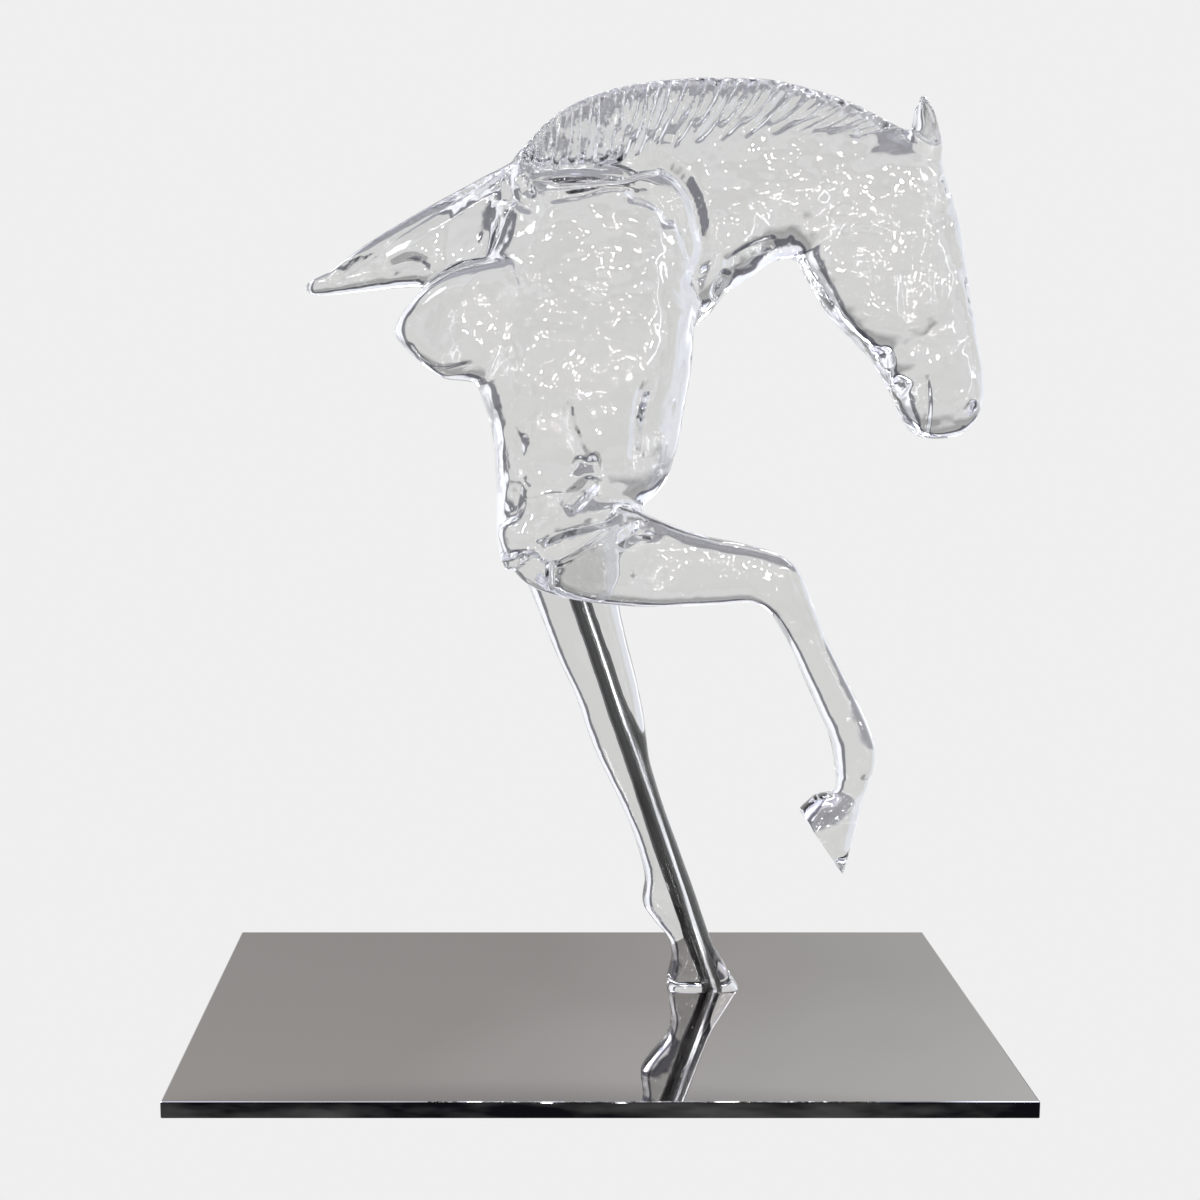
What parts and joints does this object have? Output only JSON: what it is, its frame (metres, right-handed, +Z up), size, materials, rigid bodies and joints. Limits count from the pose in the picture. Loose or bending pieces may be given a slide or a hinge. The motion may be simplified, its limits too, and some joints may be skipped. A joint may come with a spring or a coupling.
{
  "type": "horse sculpture",
  "caption": "Clear cast resin sculpture of a horse's forequarters with one foreleg raised, standing on the other foreleg round a steel rod on a flat polished steel base plate",
  "frame": {"origin": "centre of the base plate's underside", "axes": "+X the way the horse faces, along the plate's length; +Y away from the raised foreleg; +Z up"},
  "size_m": [0.6, 0.36, 0.7157],
  "materials": {
    "polished_steel": "polished stainless steel plate",
    "rod_steel": "drawn round steel bar, bright",
    "clear_resin": "polished clear cast resin"
  },
  "bodies": {
    "root": {"base_plate": "polished_steel", "support_rod": "rod_steel", "horse": "clear_resin"}
  },
  "joints": []
}
